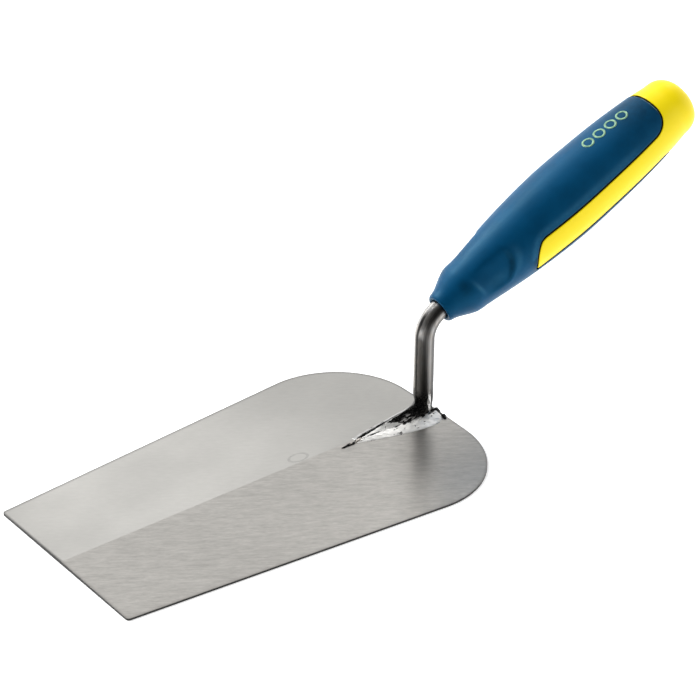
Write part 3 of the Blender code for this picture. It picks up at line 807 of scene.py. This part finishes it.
# ------------------------ handle
HANDLE = Matrix.Translation(CRANK + HANDLE_AXIS * COLLAR_FROM_CRANK) @ Matrix.Rotation(-RISE, 4, "Y")
UNROLL = 15 * MM                  # radius used to lay the handle's skin out flat
QUARTER = math.pi / 2 * UNROLL
WALL_THICKNESS = 1.2 * MM
CORE_RECESS = 0.12 * MM
CORE_START = 38 * MM
GROOVE_WIDTH = 0.8 * MM
RING_STEPS = 46                   # round half the handle
DOME_STEPS = 26
SEAM_STEP = 1.1 * MM
END_GAP = 0.45 * MM               # kept free of points at a panel's ends
CLOSE_ROWS = (0.14, 0.30, 0.50, 0.80)
REST_FINE_END = 38 * MM           # the mesh is finer up to here, for the thumb rest
GRIP_START = 1.2 * MM
COLLAR_LIP = ((0.75, 6.38), (0.4, 6.22), (0.15, 5.95), (0.03, 5.6), (0.03, 5.2), (0.2, 4.85),
              (0.6, 4.65), (1.4, 4.6), (3.5, 4.6))    # t and radius in mm, round the grip's front end


def profile_radius(t):
    if t >= DOME_START:
        depth = clamp((t - DOME_START) / (HANDLE_LENGTH - DOME_START))
        return PROFILE[-1][1] * max(1 - depth ** DOME_SQUARENESS, 0.0) ** (1 / DOME_SQUARENESS)
    for i in range(len(PROFILE) - 1):
        (start, low), (end, high) = PROFILE[i], PROFILE[i + 1]
        if t <= end:
            before, after = PROFILE[max(i - 1, 0)], PROFILE[min(i + 2, len(PROFILE) - 1)]
            length = end - start
            slope_low = (high - before[1]) / (end - before[0])
            slope_high = (after[1] - low) / (after[0] - start)
            u = (t - start) / length
            return ((2 * u ** 3 - 3 * u ** 2 + 1) * low + (u ** 3 - 2 * u ** 2 + u) * length * slope_low
                    + (3 * u ** 2 - 2 * u ** 3) * high + (u ** 3 - u ** 2) * length * slope_high)
    return PROFILE[-1][1]


def resample(points, step):
    """Points a fixed step apart along a line of points."""
    line = [Vector(p) for p in points]
    lengths = [0.0]
    for a, b in zip(line, line[1:]):
        lengths.append(lengths[-1] + (b - a).length)
    count = max(int(round(lengths[-1] / step)), 1)
    result, k = [], 0
    for i in range(count + 1):
        want = lengths[-1] * i / count
        while k < len(line) - 2 and lengths[k + 1] < want:
            k += 1
        part = (want - lengths[k]) / max(lengths[k + 1] - lengths[k], 1e-9)
        result.append(line[k].lerp(line[k + 1], clamp(part)))
    return result


def tongue_corner(sign, border):
    """The quarter ellipse from a tongue's edge to the grip's rear edge, in side view."""
    points = []
    for step in range(13):
        angle = math.pi / 2 * step / 12
        points.append((GRIP_LENGTH - TONGUE_CORNER_LENGTH * (1 - math.sin(angle)),
                       border + sign * TONGUE_CORNER_HEIGHT * (1 - math.cos(angle))))
    return points


def border_line(inset):
    """The line between rubber and hard core on one side, laid out flat as (t, s)."""
    front_low = Vector((40.7 * MM, STRIP_BOTTOM + 1.0 * MM))
    front_bend = Vector((41.7 * MM, 0.8 * MM))
    front_top = Vector((45.6 * MM, STRIP_TOP - 1.5 * MM))
    lower = tongue_corner(-1, STRIP_BOTTOM)[::-1]
    lower += [(mix(lower[-1][0], STRIP_FRONT, i / 60), STRIP_BOTTOM) for i in range(1, 61)]
    front = [Vector((STRIP_FRONT, STRIP_BOTTOM)).lerp(front_low, 0.5) + Vector((-0.25, -0.2)) * MM]
    for i in range(17):
        u = i / 16
        front.append(front_low * (1 - u) ** 2 + front_bend * 2 * u * (1 - u) + front_top * u * u)
    front.append((47.0 * MM, STRIP_TOP - 0.5 * MM))
    upper = tongue_corner(1, STRIP_TOP)
    upper = [(mix(49.2 * MM, upper[0][0], i / 60), STRIP_TOP) for i in range(60)] + upper
    flat = [(GRIP_LENGTH, -QUARTER)]
    for t, z in lower + front + upper:
        ratio = clamp(z / profile_radius(t), -0.9999, 0.9999)
        flat.append((t, math.asin(ratio) * UNROLL))
    line = resample(flat + [(GRIP_LENGTH, QUARTER)], 0.55 * MM)
    if inset == 0:
        return line
    moved = []
    for k, point in enumerate(line):
        ahead = line[min(k + 1, len(line) - 1)] - line[max(k - 1, 0)]
        moved.append(point - Vector((-ahead.y, ahead.x)).normalized() * inset)
    moved[0].y, moved[-1].y = -QUARTER, QUARTER
    return moved


def distance_to(line, points):
    """Distance from each point to a polyline."""
    a = np.array([tuple(p) for p in line[:-1]])
    b = np.array([tuple(p) for p in line[1:]])
    p = np.array([tuple(q) for q in points])[:, None, :]
    ab = (b - a)[None]
    share = np.clip(((p - a[None]) * ab).sum(2) / np.maximum((ab ** 2).sum(2), 1e-18), 0, 1)
    return np.sqrt((((a[None] + ab * share[..., None]) - p) ** 2).sum(2)).min(1)


def rest_depth(t, angle):
    """Depth of the thumb rest: it slopes in from a straight front edge and ends at a curved wall."""
    turn = angle - REST_ANGLE
    if not -REST_BELOW < turn < REST_ABOVE:
        return 0.0
    share = turn / (REST_ABOVE if turn > 0 else REST_BELOW)
    across = (1 - share * share) ** (1.5 if turn > 0 else 0.75)
    start = REST_START - REST_LEAN * turn
    slope_in = math.sin(math.pi / 2 * clamp((t - start) / REST_RUN_IN))
    wall = REST_END - REST_WALL_BEND * (angle - REST_WALL_TOP) ** 2
    return REST_DEPTH * across * slope_in * smooth((wall - t) / REST_WALL)


def painted_grip_light(t, angle, edge_distance):
    """How much painted highlight and painted shade a place on the grip gets, each from 0 to 1."""
    front = REST_START - REST_LEAN * (angle - REST_ANGLE)
    wall = REST_END - REST_WALL_BEND * (angle - REST_WALL_TOP) ** 2
    on_tongue = t > REST_END

    # Painted highlight: the rest's front edge, the crest behind its wall, its floor and the upper tongue's
    # edge
    painted_highlight = hump(t, front + 0.1 * MM, 1.5 * MM) * hump(angle, 24 * DEG, 30 * DEG)
    painted_highlight += 0.6 * hump(t, wall + 1.9 * MM, 2.8 * MM) * hump(angle, 20 * DEG, 36 * DEG)
    painted_highlight += 0.45 * hump(t, 24 * MM, 9 * MM) * hump(angle, 10 * DEG, 20 * DEG)
    if angle > 0 and on_tongue:
        painted_highlight += 0.6 * hump(edge_distance, 1.6 * MM, 2.2 * MM) * smooth((110 * MM - t) / (16 * MM))

    # Painted shade: behind the collar, the foot of the wall, the top near the butt and the lower tongue's
    # edge
    painted_shade = 0.85 * hump(t, 11 * MM, 3.8 * MM) * hump(angle, 44 * DEG, 30 * DEG)
    painted_shade += 0.9 * hump(t, wall - 1.2 * MM, 2 * MM) * hump(angle, 24 * DEG, 48 * DEG)
    painted_shade += 0.9 * smooth((t - 92 * MM) / (26 * MM)) * hump(angle, 78 * DEG, 64 * DEG)
    if angle < 0 and on_tongue:
        painted_shade += 0.9 * hump(edge_distance, 0.0, 3 * MM)
    return clamp(painted_highlight), clamp(painted_shade)


def strip_side(line):
    """Tells which flat points lie on the bare core's side of the border line."""
    loop = [(p.x, p.y) for p in line] + [(HANDLE_LENGTH * 2, QUARTER), (HANDLE_LENGTH * 2, -QUARTER)]

    def inside(points):
        result = np.zeros(len(points), bool)
        p = np.array([tuple(q) for q in points])
        for (x0, y0), (x1, y1) in zip(loop, loop[1:] + loop[:1]):
            if y0 == y1:
                continue
            crosses = (y0 > p[:, 1]) != (y1 > p[:, 1])
            hit = (x1 - x0) * (p[:, 1] - y0) / (y1 - y0) + x0
            result ^= crosses & (p[:, 0] < hit)
        return result
    return inside


def flat_panel(line, bare, start, end):
    """Triangles over one side of the border line, with closer rows along the line."""
    far = end if bare else start
    edge = [Vector((far, -QUARTER + 2 * QUARTER * i / RING_STEPS)) for i in range(RING_STEPS + 1)]
    top_seam = resample([line[-1], Vector((far, QUARTER))], SEAM_STEP)[1:-1]
    low_seam = resample([Vector((far, -QUARTER)), line[0]], SEAM_STEP)[1:-1]
    loop = line + top_seam + edge[::-1] + low_seam
    side = -1 if bare else 1
    rows, row_gaps = [], []
    for offset in CLOSE_ROWS:
        for k in range(1, len(line) - 1):
            ahead = line[k + 1] - line[k - 1]
            rows.append(line[k] + Vector((-ahead.y, ahead.x)).normalized() * side * offset * MM)
            row_gaps.append(0.93 * offset * MM)
    grid = []
    t, k = start + 0.5 * MM, 0
    while t < end:
        for i in range(RING_STEPS):
            s = -QUARTER + 2 * QUARTER * (i + (0.5 if k % 2 else 0.02)) / RING_STEPS
            grid.append(Vector((t, s)))
        t += (0.7 if t < REST_FINE_END else 1.2) * MM
        k += 1
    points = list(loop)
    inside = strip_side(line)
    for places, gaps, seam_gap in ((rows, row_gaps, 0.1 * MM), (grid, 1.15 * MM, END_GAP)):
        fits = (inside(places) == bare) & (distance_to(line, places) > np.array(gaps))
        points += [p for p, ok in zip(places, fits)
                   if ok and start + END_GAP < p.x < end - END_GAP and abs(p.y) < QUARTER - seam_gap]
    area = sum(a.x * b.y - b.x * a.y for a, b in zip(loop, loop[1:] + loop[:1]))
    face = list(range(len(loop)))
    if area < 0:
        face.reverse()
    verts, _, faces, _, _, _ = delaunay_2d_cdt(points, [], [face], 1, 1e-7)
    return verts, faces


def roll_up(bm, verts, faces, depth_at, line):
    """Wraps flat triangles round the handle, on the near side and mirrored on the far side.

    Returns each new vertex with its t, its angle and its distance from the line."""
    gaps = distance_to(line, verts)
    placed = []
    for mirror in (-1, 1):
        made = []
        for flat, gap in zip(verts, gaps):
            t, angle = flat.x, flat.y / UNROLL
            radius = profile_radius(t) - depth_at(t, angle, gap)
            made.append(bm.verts.new((t, mirror * radius * math.cos(angle), radius * math.sin(angle))))
            placed.append((made[-1], t, angle, gap))
        for face in faces:
            corners = [made[i] for i in face]
            bm.faces.new(corners if mirror < 0 else corners[::-1])
    return placed


def rounded_edge(distance, radius):
    """How far a rounded edge falls below the surface, at a distance from the edge."""
    u = clamp(1 - distance / radius)
    return radius * (1 - math.sqrt(max(1 - u * u, 0.0)))


def close_handle_mesh(bm, name, materials, node_name):
    """Puts a skin of the handle in its place and gives it a wall, with the last material on its rim."""
    bmesh.ops.remove_doubles(bm, verts=bm.verts, dist=1e-6)
    bm.transform(HANDLE)
    piece = make_piece(name, bm, materials)
    wall = piece.modifiers.new("wall", "SOLIDIFY")
    wall.thickness = WALL_THICKNESS
    wall.offset = -1
    wall.use_rim = True
    wall.material_offset_rim = len(materials) - 1
    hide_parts(node_name)


def ring_points(t, radius):
    """A ring at the angles that the flat panels use at their ends."""
    near = [-math.pi / 2 + math.pi * i / RING_STEPS for i in range(RING_STEPS + 1)]
    ring = [(t, -radius * math.cos(a), radius * math.sin(a)) for a in near]
    ring += [(t, radius * math.cos(a), radius * math.sin(a)) for a in reversed(near[1:-1])]
    return ring


def build_grip(material):
    line = border_line(0.0)
    verts, faces = flat_panel(line, False, GRIP_START, GRIP_LENGTH)
    bm = bmesh.new()
    painted_highlight, painted_shade = [bm.verts.layers.float.new(name) for name in GRIP_LIGHT_LAYERS]

    def depth(t, angle, edge_distance):
        return rest_depth(t, angle) + rounded_edge(edge_distance, 0.42 * MM) * 0.9
    # Each point also keeps its painted highlight and painted shade
    for vert, *place_on_grip in roll_up(bm, verts, faces, depth, line):
        vert[painted_highlight], vert[painted_shade] = painted_grip_light(*place_on_grip)
    lip = [(GRIP_START, profile_radius(GRIP_START))] + [(t * MM, radius * MM) for t, radius in COLLAR_LIP]
    skin(bm, [ring_points(t, radius) for t, radius in lip], cap_start=False, cap_end=False)
    close_handle_mesh(bm, "grip_rubber", [material], "grip")


def build_core(material, groove):
    line = border_line(GROOVE_WIDTH)
    verts, faces = flat_panel(line, True, CORE_START, DOME_START)
    bm = bmesh.new()

    def depth(t, angle, edge_distance):
        return CORE_RECESS + rounded_edge(edge_distance, 0.25 * MM)
    roll_up(bm, verts, faces, depth, line)
    dome = HANDLE_LENGTH - DOME_START
    rings = []
    for step in range(DOME_STEPS):
        angle = math.pi / 2 * step / DOME_STEPS
        t = DOME_START + dome * math.sin(angle) ** (2 / DOME_SQUARENESS)
        radius = PROFILE[-1][1] * math.cos(angle) ** (2 / DOME_SQUARENESS)
        rings.append(ring_points(t, radius - CORE_RECESS))
    last = skin(bm, rings, cap_start=False, cap_end=False)[-1]
    pole = bm.verts.new((HANDLE_LENGTH, 0, 0))
    for i, vert in enumerate(last):
        bm.faces.new((vert, last[(i + 1) % len(last)], pole))
    # The core's rim, down in the groove, takes the near-black groove material: painted shade
    close_handle_mesh(bm, "core_plastic", [material, groove], "handle_core")


def build_sleeve(material):
    """The core's covered part, seen only as the bottom of the groove round the rubber, coloured near-black as
    painted shade.
    """
    start, end, depth, count = 37 * MM, 127 * MM, 1.05 * MM, 40
    bm = bmesh.new()
    places = [mix(start, end, i / count) for i in range(count + 1)]
    skin(bm, [ring_points(t, profile_radius(t) - depth) for t in places])
    bm.transform(HANDLE)
    sleeve = make_piece("groove_shade_sleeve", bm, [material])
    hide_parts("handle_core")


def build_print():
    """A plain row of rings printed on the grip, near its top."""
    middle_t, middle_angle = 100 * MM, 88 * DEG
    count, spacing, outer, inner = 4, 6.4 * MM, 2.7 * MM, 1.8 * MM
    proud, sunk, steps = 0.05 * MM, 0.10 * MM, 40
    bm = bmesh.new()
    for k in range(count):
        centre_t = middle_t + (k - (count - 1) / 2) * spacing
        rows = []
        for reach, lift in ((outer, -sunk), (outer, proud), (inner, proud), (inner, -sunk)):
            row = []
            for i in range(steps):
                turn = 2 * math.pi * i / steps
                t = centre_t + reach * math.cos(turn)
                angle = middle_angle + reach * math.sin(turn) / profile_radius(centre_t)
                radius = profile_radius(t) + lift
                row.append(bm.verts.new((t, -radius * math.cos(angle), radius * math.sin(angle))))
            rows.append(row)
        for row, after in zip(rows, rows[1:] + rows[:1]):
            for i in range(steps):
                j = (i + 1) % steps
                bm.faces.new((row[i], row[j], after[j], after[i]))
    bm.transform(HANDLE)
    make_piece("grip_print", bm, [print_ink()])


# ------------------------ stage
FLOOR_HALF = 6.0
FLOOR_DROP = 0.02 * MM
PAST_TROWEL = (0.60, 0.78, 0.15)  # the way from the camera past the trowel
LAMPS = (                         # name, place, what it points at, size, watts
    ("back_left", (-0.42, 1.18, 1.22), (0, 0, 0.05), (0.9, 0.9), 30),
    ("back_right", (0.75, 0.47, 1.1), (0, 0, 0.02), (0.3, 0.3), 1.6),
    ("right", (1.1, -0.95, 0.5), (0, 0, 0.06), (1.5, 1.0), 4.2))
CAMERA_AZIMUTH = -38.04 * DEG
CAMERA_ELEVATION = 30.768 * DEG
CAMERA_ROLL = 0.582 * DEG
CAMERA_DISTANCE = 1.0668
CAMERA_LENS = 140.13
CAMERA_SHIFT = (0.0016, -0.0012)
AIM_X, AIM_Z = -20.4 * MM, -11.3 * MM    # from the middle of the CAD box


def build_stage():
    """A plain pale floor under the trowel."""
    bm = bmesh.new()
    corners = ((-1, -1), (1, -1), (1, 1), (-1, 1))
    bm.faces.new([bm.verts.new((x * FLOOR_HALF, y * FLOOR_HALF, -FLOOR_DROP)) for x, y in corners])
    mesh = bpy.data.meshes.new("floor")
    bm.to_mesh(mesh)
    bm.free()
    material, tree, shader = new_material("floor")
    feed(tree, shader, {"Base Color": (0.8, 0.8, 0.8, 1), "Roughness": 0.9, "Specular IOR Level": 0.1,
                        "Emission Color": (1, 1, 1, 1), "Emission Strength": 0.62})
    mesh.materials.append(material)
    floor = bpy.data.objects.new("floor", mesh)
    bpy.context.scene.collection.objects.link(floor)


def add_lamp(name, location, target, size, power):
    data = bpy.data.lights.new(name, "AREA")
    data.shape = "RECTANGLE"
    data.size, data.size_y = size
    data.energy = power
    lamp = bpy.data.objects.new(name, data)
    lamp.location = location
    lamp.rotation_euler = (Vector(target) - Vector(location)).to_track_quat("-Z", "Y").to_euler()
    bpy.context.scene.collection.objects.link(lamp)


def build_lights():
    """The lamps, and a world that is bright past the trowel, dark behind the camera and dim overhead."""
    world = bpy.data.worlds.new("studio")
    bpy.context.scene.world = world
    world.use_nodes = True
    tree = world.node_tree
    way = node(tree, "ShaderNodeTexCoord", output="Generated")
    far = node(tree, "ShaderNodeVectorMath", {0: way, 1: PAST_TROWEL}, operation="DOT_PRODUCT",
               output="Value")
    _, _, height = split(tree, way)
    level = times(tree, span(tree, far, -0.35, 0.75, 0.09, 1.15), span(tree, height, 0.5, 0.95, 1.0, 0.36))
    low_glow = times(tree, span(tree, height, 0.34, 0.0, 0.0, 0.15), span(tree, far, 0.2, -0.35))
    level = calc(tree, "ADD", level, low_glow)
    feed(tree, tree.nodes["Background"], {"Color": spread(tree, level), "Strength": 1.0})
    for lamp in LAMPS:
        add_lamp(*lamp)


def build_camera():
    """The long lens of a catalogue view, fitted to the plate's own symmetry."""
    centre = (cad_low + cad_high) / 2
    aim = Vector((centre.x + AIM_X, 0, centre.z + AIM_Z))
    level = math.cos(CAMERA_ELEVATION)
    back = Vector((math.sin(CAMERA_AZIMUTH) * level, -math.cos(CAMERA_AZIMUTH) * level,
                   math.sin(CAMERA_ELEVATION)))
    side = (-back).cross(Vector((0, 0, 1))).normalized()
    up = side.cross(-back)
    right = side * math.cos(CAMERA_ROLL) + up * math.sin(CAMERA_ROLL)
    above = up * math.cos(CAMERA_ROLL) - side * math.sin(CAMERA_ROLL)
    data = bpy.data.cameras.new("camera")
    data.lens = CAMERA_LENS
    data.sensor_width = 36
    data.shift_x, data.shift_y = CAMERA_SHIFT
    data.clip_start, data.clip_end = 0.05, 50
    camera = bpy.data.objects.new("camera", data)
    turn = Matrix((right, above, back)).transposed().to_4x4()
    camera.matrix_world = Matrix.Translation(aim + back * CAMERA_DISTANCE) @ turn
    bpy.context.scene.collection.objects.link(camera)
    bpy.context.scene.camera = camera


def build_all():
    build_blade()
    build_shank()
    dull, bright = ground_weld("ground_weld_dull", DULL_WELD), ground_weld("ground_weld", BRIGHT_WELD)
    build_side_weld("weld_fillet_left", 1, (7.6 * MM, 2.8 * MM, 1.0), 2.6 * MM, dull, "weld_left")
    build_side_weld("weld_fillet_right", -1, (9.8 * MM, 1.8 * MM, 1.7), 1.75 * MM, bright, "weld_right")
    build_heel_bead(raw_weld("raw_weld", HEEL_BEAD_SHINE))
    build_tip_bead(raw_weld("run_out", TIP_BEAD_SHINE))
    build_grip(rubber_with_painted_light())
    # The groove's near-black material: painted shade
    groove, _, _ = moulded("groove_shadow", GROOVE_SHADE, 0.6, 1800, 0.12, 60)
    build_core(core_plastic(), groove)
    build_sleeve(groove)
    build_print()
    build_stage()
    build_lights()
    build_camera()
    bpy.context.scene.view_settings.view_transform = "Standard"


build_all()
